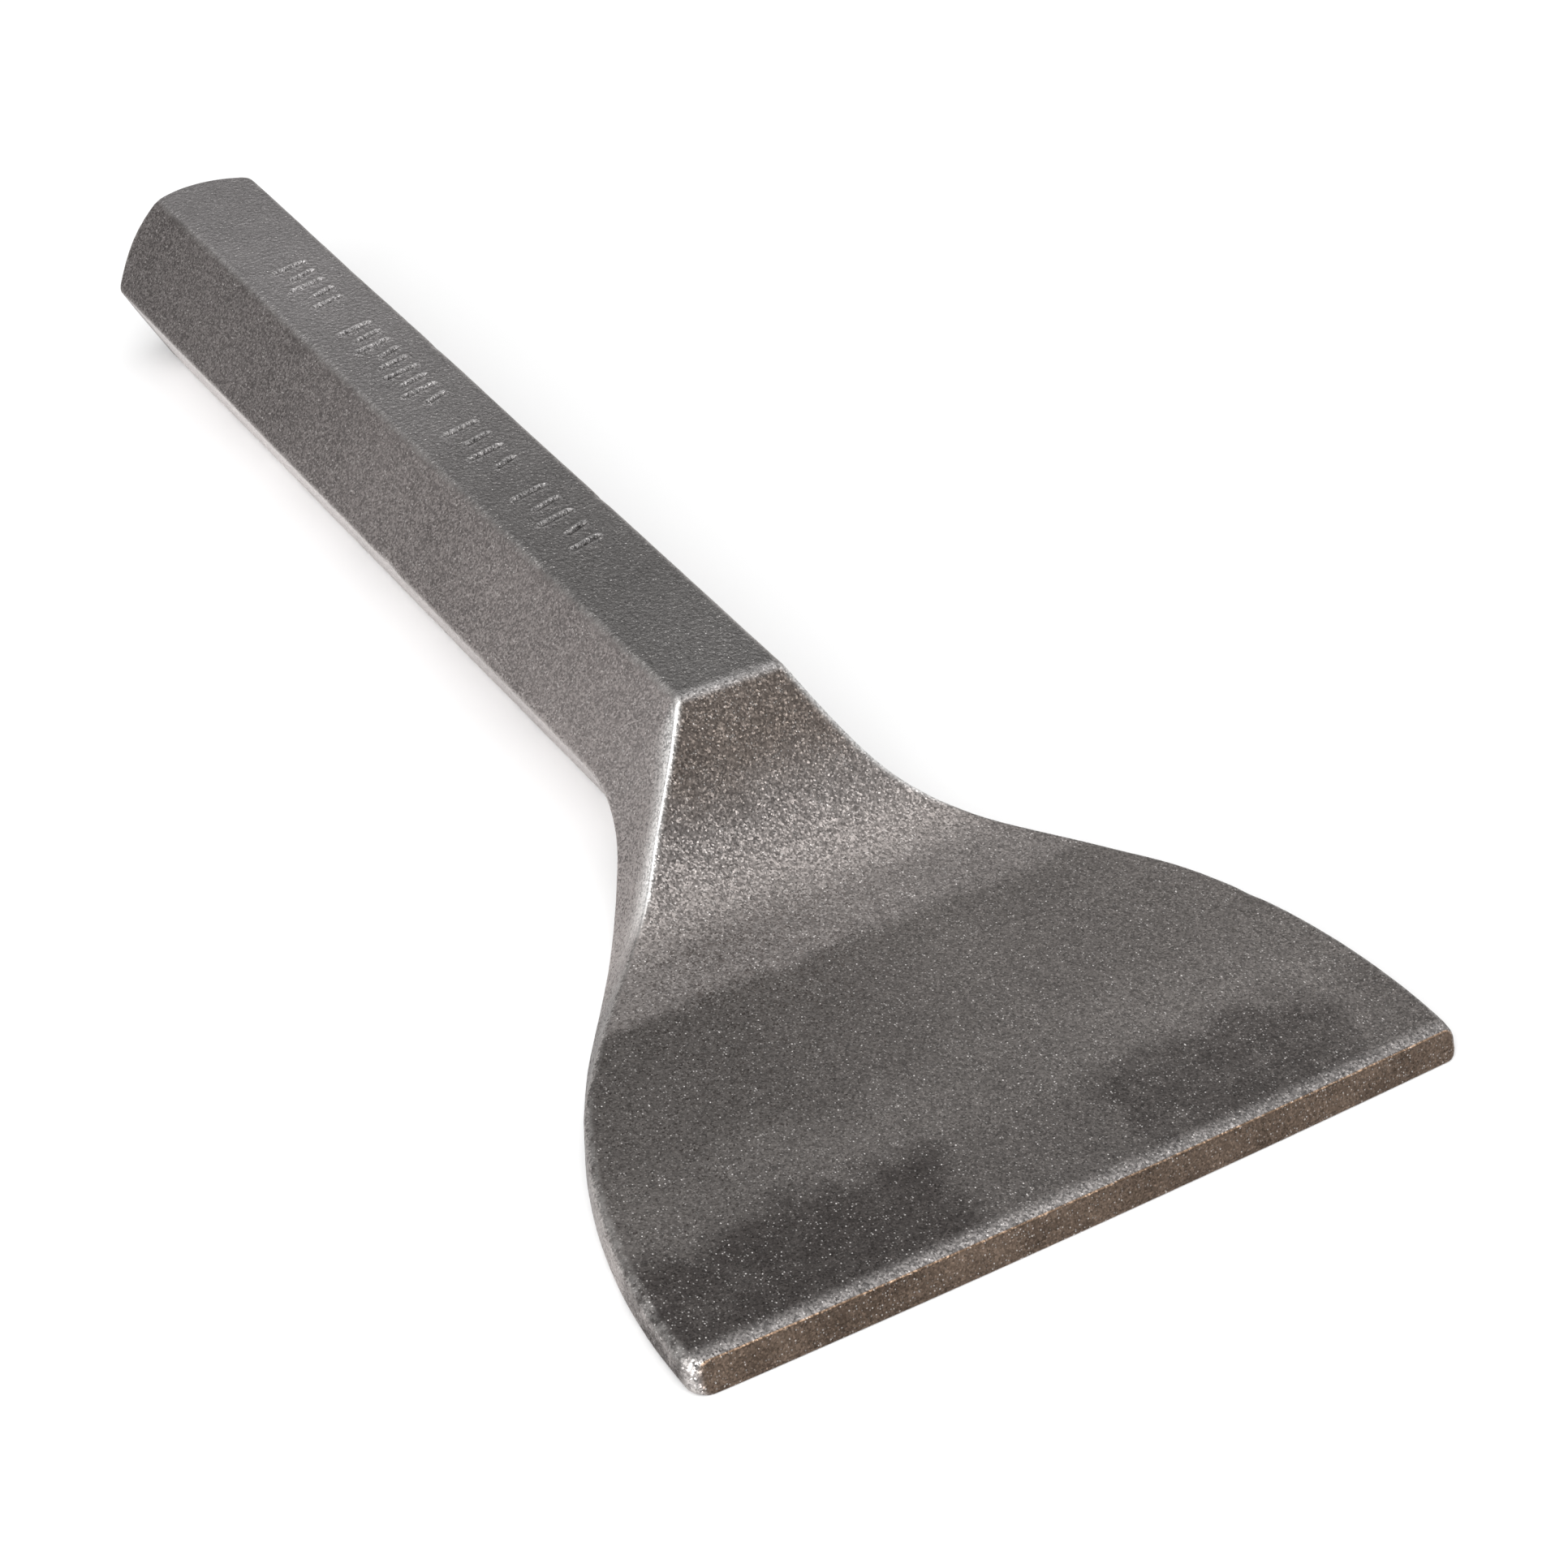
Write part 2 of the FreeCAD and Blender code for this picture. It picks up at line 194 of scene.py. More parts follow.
def corner_arc(before, corner, after, radius):
    """Rounded corner of a section as CORNER_N + 1 points."""
    before, corner, after = (np.array(point) for point in (before, corner, after))
    back, ahead = before - corner, after - corner
    back_length, ahead_length = np.linalg.norm(back), np.linalg.norm(ahead)
    back, ahead = back / back_length, ahead / ahead_length
    turn = math.pi - math.acos(float(np.clip(back @ ahead, -1, 1)))
    reach = min(radius * math.tan(turn / 2), 0.48 * back_length, 0.48 * ahead_length)
    radius = reach / math.tan(turn / 2)
    middle = corner + (back + ahead) / np.linalg.norm(back + ahead) * radius / math.cos(turn / 2)
    start, stop = corner + back * reach - middle, corner + ahead * reach - middle
    points = []
    for step in range(CORNER_N + 1):
        t = step / CORNER_N
        points.append(middle + (start * math.sin((1 - t) * turn) + stop * math.sin(t * turn))
                      / math.sin(turn))
    return np.array(points)


def side_radii(y):
    """Radii of the top, belt and back corners of the section; the top one is crisper on the flare."""
    top = TOP_RADIUS - CRISPER * math.exp(-((y - CRISP_Y) / CRISP_REACH) ** 2)
    return (top, *(BAR_RADII if y > RADII_CHANGE_Y else BLADE_RADII))


def half_section(y, swell):
    """Half of the cross-section from the top centre to the back centre, its rim moved out by swell."""
    top, belt, belt_z, back = widths(y)
    roof = roof_height(y)
    rim = belt + (top - belt) * (roof - belt_z) / (FLATS - belt_z)
    rim += swell * math.exp(-((y - SWELL_Y) / SWELL_REACH) ** 2)
    corners = [(0.0, roof), (rim, roof), (belt, belt_z), (back, 0.0), (0.0, 0.0)]
    arcs = [corner_arc(corners[i], corners[i + 1], corners[i + 2], radius)
            for i, radius in enumerate(side_radii(y))]
    flat_steps = np.sin(np.linspace(0, 1, FLAT_N + 1) * math.pi / 2)[:-1, None]
    wall_steps = ((1 - np.cos(np.linspace(0, 1, WALL_N + 1) * math.pi)) / 2)[1:-1, None]
    start, stop = np.array(corners[0]), np.array(corners[-1])
    pieces = [start + (arcs[0][0] - start) * flat_steps, arcs[0],
              arcs[0][-1] + (arcs[1][0] - arcs[0][-1]) * wall_steps, arcs[1],
              arcs[1][-1] + (arcs[2][0] - arcs[1][-1]) * wall_steps, arcs[2],
              (stop + (arcs[2][-1] - stop) * flat_steps)[::-1]]
    return np.vstack(pieces)


def whole_ring(y):
    """Both halves of the section; the forging is a little fuller on the left of the ramp."""
    right, left = half_section(y, 0.0), half_section(y, RIM_SWELL)
    mirrored = left[1:-1][::-1] * (-1, 1)
    return np.vstack([right, mirrored])


def ring_at(y):
    """Ring of points round the tool at station y, following the bowed edge near the blade end."""
    flat = whole_ring(y)
    x, z = flat[:, 0], flat[:, 1]
    lean = smooth(-y, BOW_START, -EDGE_Y)
    along = y + lean * (SLANT * z + x ** 2 / (2 * BOW_RADIUS))
    if lean > 0:
        x = x * blade_half(along) / blade_half(y)
        z = z * (TRANSITION_Z + THINNING * (along - TRANSITION_Y)) / roof_height(y)
        z = z * (1 - EDGE_DROOP * max(0.0, 1 - (y - EDGE_Y) / DROOP_REACH) ** 2)
    return np.column_stack([x, along, z])


def ring_normals(ring):
    """Outward normals of a ring within its own section."""
    tangent = np.roll(ring, -1, axis=0) - np.roll(ring, 1, axis=0)
    normal = np.column_stack([-tangent[:, 2], np.zeros(len(ring)), tangent[:, 0]])
    normal /= np.linalg.norm(normal, axis=1)[:, None]
    return normal


def rounding(radius, behind):
    """Inset of an edge rounded to radius, at a distance behind its face."""
    return radius - math.sqrt(radius ** 2 - max(0.0, radius - behind) ** 2)


def edge_rings():
    """Rings that turn from the blade into the ground edge, rounding its arrises and corners."""
    rings = []
    for behind in EDGE_STEPS:
        ring = ring_at(EDGE_Y + behind)
        moved = ring - ring_normals(ring) * rounding(ARRIS_RADIUS, behind)
        half = np.abs(ring[:, 0]).max()
        beside = smooth(np.abs(ring[:, 0]), half - TIP_REACH, half - TIP_FULL)
        inset = np.where(ring[:, 0] < 0, rounding(LEFT_TIP_RADIUS, behind),
                         rounding(RIGHT_TIP_RADIUS, behind))
        moved[:, 0] -= np.sign(ring[:, 0]) * beside * inset
        moved[:, 1] += SLANT * (moved[:, 2] - ring[:, 2])
        rings.append(moved)
    return rings


def head_ring(y, limit):
    """Ring at the head: the hexagon cut by a turned radius, with a soft meeting line."""
    ring = ring_at(min(y, LAST_SECTION_Y))
    ring[:, 1] = y
    across, up = ring[:, 0], ring[:, 2] - AXIS_Z
    reach = np.hypot(across, up)
    cut = -HEAD_SOFT * np.log(np.exp(-reach / HEAD_SOFT) + np.exp(-limit / HEAD_SOFT))
    ring[:, 0] = across / reach * cut
    ring[:, 2] = AXIS_Z + up / reach * cut
    return ring


def head_profile():
    """Stations (y, turned radius) over the chamfer and its worn edge, and the crown's radius."""
    dome = (FACE_RADIUS ** 2 + HEAD_CROWN ** 2) / (2 * HEAD_CROWN)
    points = [(y, AXIS_Z + (RIM_Y - HEAD_CHAMFER) - y)
              for y in np.arange(CHAMFER_START_Y, RIM_Y - HEAD_WORN * 0.7, CHAMFER_STEP)]
    start = np.array([RIM_Y - HEAD_WORN * math.sin(math.pi / 4),
                      FACE_RADIUS + HEAD_WORN * math.cos(math.pi / 4)])
    inner = FACE_RADIUS - HEAD_WORN
    stop = np.array([LENGTH / 2 - dome + math.sqrt(dome ** 2 - inner ** 2), inner])
    bend = np.array([RIM_Y, FACE_RADIUS])
    for t in np.linspace(0, 1, 9):
        point = (1 - t) ** 2 * start + 2 * t * (1 - t) * bend + t ** 2 * stop
        points.append(tuple(point))
    return points, dome


def stretch(start, stop, step):
    """Even stations from start up to, but not at, stop, about step apart."""
    count = max(1, round((stop - start) / step))
    return list(np.linspace(start, stop, count + 1)[:-1])


stations = (stretch(EDGE_Y + 2.0, -90, 0.45) + stretch(-90, -60, 0.7) + stretch(-60, -50, 0.4)
            + stretch(-50, -34, 0.3) + stretch(-34, -30.4, 0.14) + stretch(-30.4, -18, 0.45)
            + stretch(-18, BAR_STOP_Y, 0.7))
profile, dome = head_profile()
rings = edge_rings() + [ring_at(y) for y in stations] + [head_ring(y, r) for y, r in profile]
EDGE_RINGS = len(EDGE_STEPS)
verts = np.vstack(rings)
ring_count = len(rings)

# Where the top flat starts on the left, in a ring seen as the four sides of a grid.
LEFT_TOP = RING_N - FLAT_N


def grid_index(base):
    """Vertex numbers on the border of a cap grid, row by row, with -1 inside."""
    index = -np.ones((SIDE_N + 1, 2 * FLAT_N + 1), dtype=int)
    for column in range(2 * FLAT_N + 1):
        index[0, column] = base + (LEFT_TOP + column) % RING_N
        index[SIDE_N, column] = base + (FLAT_N + SIDE_N + 2 * FLAT_N - column)
    for row in range(SIDE_N + 1):
        index[row, 2 * FLAT_N] = base + FLAT_N + row
        index[row, 0] = base + (LEFT_TOP - row) % RING_N
    return index


def cap(verts, base, flip):
    """Close the tool with a grid over the ring whose first vertex is base."""
    index = grid_index(base)
    top, low = verts[index[0]], verts[index[-1]]
    left, right = verts[index[:, 0]], verts[index[:, -1]]
    v = np.linspace(0, 1, SIDE_N + 1)[:, None, None]
    u = np.linspace(0, 1, 2 * FLAT_N + 1)[None, :, None]
    grid = ((1 - v) * top[None] + v * low[None] + (1 - u) * left[:, None] + u * right[:, None]
            - (1 - u) * (1 - v) * top[0] - u * (1 - v) * top[-1]
            - (1 - u) * v * low[0] - u * v * low[-1])
    inner = grid[1:-1, 1:-1].reshape(-1, 3)
    index[1:-1, 1:-1] = len(verts) + np.arange(len(inner)).reshape(SIDE_N - 1, -1)
    faces = []
    for row in range(SIDE_N):
        for column in range(2 * FLAT_N):
            face = (index[row, column], index[row, column + 1],
                    index[row + 1, column + 1], index[row + 1, column])
            faces.append(face[::-1] if flip else face)
    return np.vstack([verts, inner]), faces


faces = []
for ring in range(ring_count - 1):
    here, there = ring * RING_N, (ring + 1) * RING_N
    for step in range(RING_N):
        after = (step + 1) % RING_N
        faces.append((here + step, here + after, there + after, there + step))
side_verts = len(verts)
verts, edge_faces = cap(verts, 0, True)
edge_verts = len(verts)
verts, head_faces = cap(verts, (ring_count - 1) * RING_N, False)
faces += edge_faces + head_faces

# The ground edge is one leaning plane with the bow of the blade in it.
face_ids = np.concatenate([np.arange(RING_N), np.arange(side_verts, edge_verts)])
border = verts[:RING_N]
plane = np.linalg.lstsq(np.column_stack([np.ones(RING_N), border[:, 2], border[:, 0] ** 2]),
                        border[:, 1], rcond=None)[0]
verts[face_ids, 1] = plane[0] + plane[1] * verts[face_ids, 2] + plane[2] * verts[face_ids, 0] ** 2

# The struck face is part of a large ball.
crown = verts[edge_verts:]
reach2 = crown[:, 0] ** 2 + (crown[:, 2] - AXIS_Z) ** 2
verts[edge_verts:, 1] = LENGTH / 2 - dome + np.sqrt(dome ** 2 - reach2)

# ---------------------------------------------------------------- worn and forged surface
def noise_field(points, scale, seed):
    """Gradient noise from -1 to 1 with features about scale millimetres across."""
    shift = Vector((seed * 17.3, seed * 5.1, seed * 9.7))
    return np.array([noise.noise(Vector(point) / scale + shift) for point in points])


def ring_weights():
    """Weights round a ring: of the rims, of the belt and back corners, and of the top."""
    step = np.arange(RING_N)
    step = np.minimum(step, RING_N - step)
    spread = CORNER_N * 0.42
    rim_middle = FLAT_N + CORNER_N / 2
    belt_middle = rim_middle + CORNER_N + WALL_N
    back_middle = belt_middle + CORNER_N + WALL_N
    rim = np.exp(-((step - rim_middle) / spread) ** 4)
    belt = np.exp(-((step - belt_middle) / spread) ** 4)
    back = np.exp(-((step - back_middle) / spread) ** 4)
    top = 1 - smooth(step, FLAT_N + 1.0, FLAT_N + CORNER_N - 1.0)
    return rim, np.maximum(belt, back), top


def shoulder_weight(ring):
    """Weight fading from the rims of a ring, quickly over the top and slowly down the walls; it carries
    the painted rim highlight.
    """
    step = np.arange(RING_N)
    step = np.minimum(step, RING_N - step)
    rims = ring[[FLAT_N + CORNER_N // 2, RING_N - FLAT_N - CORNER_N // 2]]
    away = np.linalg.norm(ring[:, None] - rims[None], axis=2).min(axis=1)
    reach = np.where(step < FLAT_N + CORNER_N // 2, 0.45, 3.0)
    return np.exp(-(away / reach) ** 2)


inner_edge, inner_head = edge_verts - side_verts, len(verts) - edge_verts
inner_zeros = np.zeros(inner_edge + inner_head)
rim_attr, belt_attr, top_attr = (np.concatenate([np.tile(weight, ring_count), inner_zeros])
                                 for weight in ring_weights())
shoulder_attr = np.concatenate([shoulder_weight(ring) for ring in rings] + [inner_zeros])
ground_fade = [1.0, 0.9, 0.6, 0.25]
ground_fade += [0.0] * (EDGE_RINGS - len(ground_fade))
ground_attr = np.concatenate([np.repeat(ground_fade, RING_N),
                              np.zeros(side_verts - EDGE_RINGS * RING_N),
                              np.ones(inner_edge), np.zeros(inner_head)])

mesh = bpy.data.meshes.new("chisel_forging")
mesh.from_pydata((verts * MM).tolist(), [], np.array(faces).tolist())
mesh.update()
normals = np.empty(len(verts) * 3)
mesh.vertices.foreach_get("normal", normals)
normals = normals.reshape(-1, 3)

# Forged surfaces are never quite flat: depth, size and seed of each layer of waves.
WAVES = ((0.07, 19.0, 1), (0.022, 5.0, 2), (0.008, 1.7, 3))
EDGE_WANDER = (0.022, 2.6, 4)
sink = np.zeros(len(verts))
for depth, size, seed in WAVES:
    sink += depth * (1 + noise_field(verts, size, seed))
sink *= 1 - 0.95 * ground_attr
depth, size, seed = EDGE_WANDER
sink += depth * (1 + noise_field(verts, size, seed)) * np.maximum(rim_attr, 0.6 * belt_attr)

# Small nicks: place, size and depth.
NICKS = [(-6.3, 52.4, 22.1, 0.8, 0.3), (-6.2, -4.5, 22.1, 0.8, 0.22), (-6.3, 28.0, 22.1, 0.6, 0.18),
         (6.3, 44.0, 22.1, 0.7, 0.16), (6.3, 5.0, 22.1, 0.8, 0.14), (-12.7, 20.0, 11.1, 0.9, 0.2),
         (12.7, 62.0, 11.1, 0.8, 0.14), (12.7, -8.0, 11.1, 0.9, 0.14), (-30.5, -62.0, 5.2, 0.7, 0.2),
         (38.5, -72.0, 4.8, 0.8, 0.2), (-43.2, -90.0, 3.9, 0.8, 0.25), (-6.4, 88.0, 22.1, 0.7, 0.2)]
for x, y, z, size, depth in NICKS:
    away = np.linalg.norm((verts - (x, y, z)) / (size, size * 1.5, size), axis=1)
    sink += depth * np.exp(-away ** 2)
verts = verts - normals * sink[:, None]
verts[:, 2] = np.maximum(verts[:, 2], 0.0)

mesh.clear_geometry()
mesh.from_pydata((verts * MM).tolist(), [], np.array(faces).tolist())
mesh.update()
for name, values in (("rim", rim_attr), ("belt", belt_attr), ("top", top_attr),
                     ("shoulder", shoulder_attr), ("ground", ground_attr)):
    layer = mesh.attributes.new(name, "FLOAT", "POINT")
    layer.data.foreach_set("value", values)
chisel = bpy.data.objects.new("chisel_forging", mesh)
bpy.context.scene.collection.objects.link(chisel)
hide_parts("chisel_body")
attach(chisel, "root")


# Plain slanted strokes punched along the top flat; they spell nothing.  Each row is
# its first and last stroke's y and how many strokes it has.
STROKE_ROWS = ((69.5, 59.5, 5), (52.0, 33.0, 9), (25.5, 16.5, 4), (9.5, -2.5, 5))
STROKE_WIDTH, STROKE_DEPTH, STROKE_REACH = 0.24, 0.3, 2.1
STROKE_SHORTER = (0.0, 0.5, 0.0, 0.85, 0.3)
STROKE_SLANT = 0.5
LIP_HEIGHT, LIP_AWAY, LIP_WIDTH = 0.08, 0.55, 0.18
LIP_PAINT_AWAY, LIP_PAINT_WIDTH, GROOVE_PAINT_WIDTH = 0.4, 0.2, 0.16
# Points this far below the top or out from its middle are left alone.
BELOW_TOP, OFF_MIDDLE, FAR_AWAY = 0.6, 3.6, 9.0
REFINE_REACH, PRESS_REACH, REFINE_CUTS = 0.95, 1.2, 5


def strokes():
    """Ends of the punched strokes as (x, y) pairs on the top flat."""
    lines = []
    for start, stop, count in STROKE_ROWS:
        for step in range(count):
            y = start + (stop - start) * step / (count - 1)
            low = STROKE_SHORTER[step % len(STROKE_SHORTER)] * STROKE_REACH
            lines.append(((low - STROKE_REACH, y - STROKE_SLANT), (STROKE_REACH, y + STROKE_SLANT)))
    return lines


def segment_distance(point, start, stop):
    """Distance of a point from the line between start and stop."""
    run = (stop[0] - start[0], stop[1] - start[1])
    t = ((point[0] - start[0]) * run[0] + (point[1] - start[1]) * run[1]) / (run[0] ** 2 + run[1] ** 2)
    t = min(1.0, max(0.0, t))
    return math.hypot(point[0] - start[0] - t * run[0], point[1] - start[1] - t * run[1])


def punch(mesh):
    """Refine the top flat round the strokes and press them in."""
    lines = strokes()

    def clearance(place):
        """Distance from the nearest stroke, for points on the top flat."""
        if place.z < FLATS - BELOW_TOP or abs(place.x) > OFF_MIDDLE:
            return FAR_AWAY
        return min(segment_distance((place.x, place.y), *line) for line in lines)

    form = bmesh.new()
    form.from_mesh(mesh)
    stroke = form.verts.layers.float.new("stroke")
    chosen = set()
    for face in form.faces:
        if clearance(face.calc_center_median() * TO_MM) < REFINE_REACH:
            chosen.update(face.edges)
    bmesh.ops.subdivide_edges(form, edges=list(chosen), cuts=REFINE_CUTS, use_grid_fill=True)
    for vert in form.verts:
        away = clearance(vert.co * TO_MM)
        if away < PRESS_REACH:
            groove = STROKE_DEPTH * math.exp(-(away / STROKE_WIDTH) ** 2)
            lip = LIP_HEIGHT * math.exp(-((away - LIP_AWAY) / LIP_WIDTH) ** 2)
            vert.co.z += (lip - groove) * MM
            # The stroke attribute carries the painted highlight on the lips and the painted shade in the
            # grooves.
            vert[stroke] = (math.exp(-((away - LIP_PAINT_AWAY) / LIP_PAINT_WIDTH) ** 2)
                            - math.exp(-(away / GROOVE_PAINT_WIDTH) ** 2))
    form.to_mesh(mesh)
    form.free()


punch(mesh)
mesh.polygons.foreach_set("use_smooth", [True] * len(mesh.polygons))


# ---------------------------------------------------------------- material
class Graph:
    """Short hand for linked shader nodes."""

    def __init__(self, tree):
        self.tree = tree

    def node(self, kind, inputs=None, **settings):
        made = self.tree.nodes.new(kind)
        for key, value in settings.items():
            setattr(made, key, value)
        for name, value in (inputs or {}).items():
            if isinstance(value, bpy.types.NodeSocket):
                self.tree.links.new(value, made.inputs[name])
            else:
                made.inputs[name].default_value = value
        return made

    def math(self, operation, first, second=0.0, clamp=False):
        return self.node("ShaderNodeMath", {0: first, 1: second}, operation=operation,
                         use_clamp=clamp).outputs[0]

    def attribute(self, name):
        return self.node("ShaderNodeAttribute", attribute_name=name).outputs["Fac"]

    def noise(self, position, scale, detail=2.0, roughness=0.5):
        return self.node("ShaderNodeTexNoise", {"Vector": position, "Scale": scale, "Detail": detail,
                                                "Roughness": roughness}).outputs["Fac"]

    def step(self, value, low, high, to_low=0.0, to_high=1.0):
        """Smooth change from to_low to to_high as value goes from low to high."""
        return self.node("ShaderNodeMapRange", {"Value": value, "From Min": low, "From Max": high,
                                                "To Min": to_low, "To Max": to_high},
                         interpolation_type="SMOOTHSTEP").outputs["Result"]

    def mix(self, factor, first, second, blend="MIX"):
        made = self.node("ShaderNodeMix", data_type="RGBA", blend_type=blend)
        for slot, value in ((0, factor), (6, first), (7, second)):
            if isinstance(value, bpy.types.NodeSocket):
                self.tree.links.new(value, made.inputs[slot])
            else:
                made.inputs[slot].default_value = value
        return made.outputs[2]


# Colours by where they are used: the metal's own bare, oxidised and scaled tones, plus painted light and
# shade, painted highlights and painted reflections set for each place.
PAINT = {
    "wall by neck": (0.288, 0.259, 0.251, 1),
    "wall by head": (0.178, 0.161, 0.157, 1),
    "lower wall by neck": (0.520, 0.490, 0.484, 1),
    "lower wall by head": (0.660, 0.630, 0.624, 1),
    "flare wall": (0.345, 0.313, 0.304, 1),
    "toe wall": (0.120, 0.112, 0.109, 1),
    "blade wall": (0.530, 0.488, 0.474, 1),
    "tip wall": (0.780, 0.725, 0.705, 1),
    "top by neck": (0.196, 0.188, 0.184, 1),
    "top by head": (0.320, 0.305, 0.306, 1),
    "flare": (0.292, 0.265, 0.253, 1),
    "flare by toe": (0.245, 0.224, 0.215, 1),
    "scale": (0.120, 0.108, 0.103, 1),
    "upper ramp": (0.187, 0.156, 0.137, 1),
    "crease": (0.380, 0.365, 0.360, 1),
    "blade left": (0.130, 0.119, 0.113, 1),
    "blade right": (0.198, 0.181, 0.172, 1),
    "halo": (0.230, 0.212, 0.202, 1),
    "scorch": (0.075, 0.067, 0.064, 1),
    "edge line": (0.330, 0.312, 0.305, 1),
    "worn": (0.520, 0.500, 0.485, 1),
    "painted rim highlight": (0.900, 0.885, 0.870, 1),
    "ground dark": (0.108, 0.079, 0.061, 1),
    "ground light": (0.170, 0.125, 0.096, 1),
    "arris": (0.440, 0.290, 0.190, 1),
    "corner": (0.500, 0.470, 0.455, 1),
    "stroke lip highlight": (0.500, 0.485, 0.480, 1),
    "stroke groove shade": (0.060, 0.056, 0.055, 1),
    "painted_glint": (0.780, 0.750, 0.730, 1),
}
BUMP_METRES = 0.00006

steel = bpy.data.materials.new("blasted_steel")
steel.use_nodes = True
shader = steel.node_tree.nodes["Principled BSDF"]
g = Graph(steel.node_tree)
coords = g.node("ShaderNodeTexCoord").outputs["Object"]
place = g.node("ShaderNodeVectorMath", {0: coords, "Scale": TO_MM}, operation="SCALE").outputs["Vector"]
axes = g.node("ShaderNodeSeparateXYZ", {"Vector": place})
across, along, height = axes.outputs["X"], axes.outputs["Y"], axes.outputs["Z"]
rim, belt, top, shoulder, ground = (g.attribute(name)
                                    for name in ("rim", "belt", "top", "shoulder", "ground"))

# Large soft variation and grain from the blasting, and specks that are later painted bright as glints.
cloud = g.noise(place, 0.06, 3.0)
blotch = g.noise(place, 0.22, 3.0, 0.6)
grain = g.noise(place, 5.0, 2.0, 0.6)
facets = g.node("ShaderNodeTexVoronoi", {"Vector": place, "Scale": 5.2})
facet_pick = g.node("ShaderNodeSeparateColor", {"Color": facets.outputs["Color"]})
glints = g.node("ShaderNodeTexVoronoi", {"Vector": place, "Scale": 3.8})
glint_pick = g.node("ShaderNodeSeparateColor", {"Color": glints.outputs["Color"]})
speck = g.math("MULTIPLY", g.step(glint_pick.outputs["Red"], 0.6, 1.0),
               g.step(glints.outputs["Distance"], 0.42, 0.16))

# Bar, in painted light and shade: the sides are painted darker towards the head, and the walls under the
# corners paler, a painted reflection of the floor.
side_light_and_shade = g.mix(g.step(along, -25.0, 70.0), PAINT["wall by neck"], PAINT["wall by head"])
# Painted reflection of the white floor on the lower walls, paler towards the head.
under = g.math("MULTIPLY", g.step(height, 11.3, 10.6), g.step(along, -34.0, -26.0))
under = g.math("MULTIPLY", under, g.step(along, 95.0, 88.0))
floor_reflection_paint = g.mix(g.step(along, -10.0, 70.0), PAINT["lower wall by neck"], PAINT["lower wall by head"])
side_light_and_shade = g.mix(under, side_light_and_shade, floor_reflection_paint)
# Further on, the side walls are painted to the light they show: lighter on the flare, darker by the toe,
# pale on the blade as a painted reflection of the floor, and paler still by the tip as a painted
# highlight.
side_light_and_shade = g.mix(g.step(along, -24.0, -34.0), side_light_and_shade, PAINT["flare wall"])
side_light_and_shade = g.mix(g.step(along, -44.0, -54.0), side_light_and_shade, PAINT["toe wall"])
side_light_and_shade = g.mix(g.step(along, -64.0, -90.0), side_light_and_shade, PAINT["blade wall"])
side_light_and_shade = g.mix(g.step(along, -86.0, -93.0), side_light_and_shade, PAINT["tip wall"])
# Painted light on the top flat: lighter towards the head.
top_light_and_shade = g.mix(g.step(along, -30.0, 95.0), PAINT["top by neck"], PAINT["top by head"])
base = g.mix(top, side_light_and_shade, top_light_and_shade)

# Flare: painted duller towards the toe as painted shade, with patches of dark scale; the upper ramp is
# warm and dark, partly forge scale and partly painted shade.
flare = g.math("MULTIPLY", g.step(along, -32.2, -33.2), top)
flare_light_and_shade = g.mix(g.step(along, -46.0, -53.0), PAINT["flare"], PAINT["flare by toe"])
base = g.mix(flare, base, flare_light_and_shade)
scale = g.step(g.noise(place, 0.35, 4.0, 0.65), 0.58, 0.72)
base = g.mix(g.math("MULTIPLY", g.math("MULTIPLY", scale, flare), 0.4), base, PAINT["scale"])
# Upper ramp: warm dark colour, partly forge scale and partly painted shade.
ramp_along = g.math("ADD", along, g.math("MULTIPLY", blotch, 4.0))
ramp = g.math("MULTIPLY", g.step(ramp_along, -40.5, -34.0), flare)
base = g.mix(g.math("MULTIPLY", ramp, 0.95), base, PAINT["upper ramp"])
# Painted highlight: a lighter, blotchy band along the rounded crease at the top of the ramp.
crease = g.math("MULTIPLY", g.step(along, -33.3, -32.7), g.step(along, -31.1, -32.3))
crease = g.math("MULTIPLY", crease, g.step(blotch, 0.3, 0.6, 0.3, 0.75))
base = g.mix(g.math("MULTIPLY", crease, top), base, PAINT["crease"])

# Blade: painted darker than the flare, with painted shade making its left side darker than its right,
# and darker heat-treatment oxide patches along the edge.
warped = g.math("ADD", along, g.math("MULTIPLY", g.math("SUBTRACT", blotch, 0.5), 4.0))
blade = g.step(warped, -56.0, -58.4)
blade_tone_and_shade = g.mix(g.step(across, -35.0, 42.0), PAINT["blade left"], PAINT["blade right"])
base = g.mix(g.math("MULTIPLY", blade, top), base, blade_tone_and_shade)
scorch = g.math("SUBTRACT", g.noise(place, 0.13, 5.0, 0.7), 0.5)
scorch_along = g.math("ADD", along, g.math("MULTIPLY", scorch, 12.0))
scorch_across = g.math("ADD", across, g.math("MULTIPLY", scorch, 14.0))
left_patch = g.step(scorch_across, -9.0, -14.0, 0.3, 1.0)
right_patch = g.math("MULTIPLY", g.step(scorch_across, 5.0, 9.0),
                     g.step(scorch_across, 40.0, 32.0, 0.0, 0.75))
patchy = g.math("MAXIMUM", left_patch, right_patch)
tint = g.math("MULTIPLY", g.step(scorch_along, -82.5, -88.5), patchy)
halo = g.math("MULTIPLY", g.step(scorch_along, -72.0, -80.0), g.math("SUBTRACT", 1.0, tint))
base = g.mix(g.math("MULTIPLY", halo, 0.35), base, PAINT["halo"])
tint = g.math("MULTIPLY", tint, g.step(g.noise(place, 0.3, 3.0, 0.65), 0.25, 0.6, 0.55, 1.0))
base = g.mix(tint, base, PAINT["scorch"])

